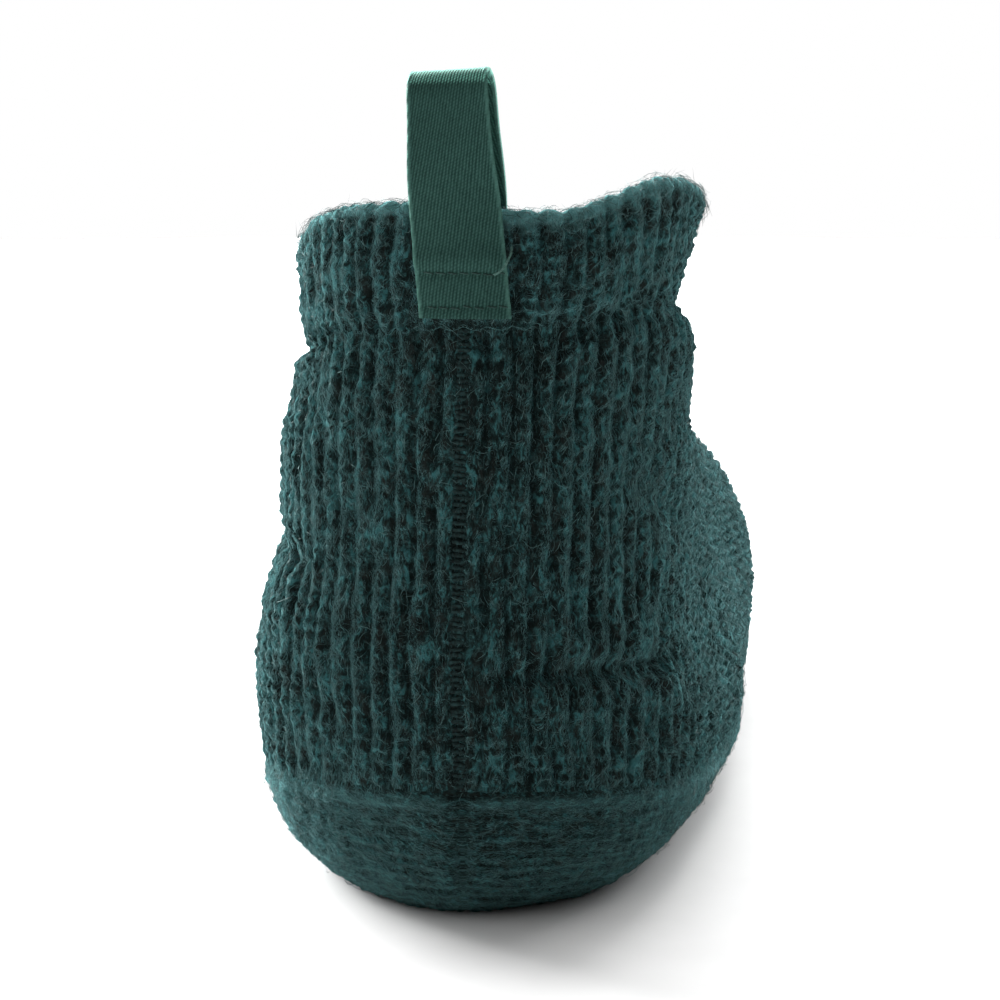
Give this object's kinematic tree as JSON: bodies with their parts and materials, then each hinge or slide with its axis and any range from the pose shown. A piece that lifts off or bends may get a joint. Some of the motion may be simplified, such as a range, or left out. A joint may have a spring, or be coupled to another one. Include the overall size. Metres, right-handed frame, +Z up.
{
  "type": "knit slipper bootie",
  "caption": "Ribbed knit slipper bootie, left foot: ankle-high upper with a turned cuff, knit-wrapped padded sole, insole and a tape pull loop at the back.",
  "frame": {"origin": "centre of the bounding box, on the floor that the sole rests on", "axes": "+Z up, toe towards -Y, heel towards +Y, lateral side towards +X, medial side towards -X"},
  "size_m": [0.0986, 0.2551, 0.1452],
  "materials": {
    "rib_knit": "matt fuzzy wool-blend rib knit, dark teal marl",
    "plain_knit": "matt plain knit turned sideways, dark teal marl",
    "sole_felt": "matt felted underside",
    "insole_fleece": "short soft fleece",
    "twill_tape": "woven twill, slight sheen"
  },
  "bodies": {
    "root": {"upper": "rib_knit", "base_band": "plain_knit", "sole": "sole_felt", "insole": "insole_fleece", "pull_loop": "twill_tape"}
  },
  "joints": []
}
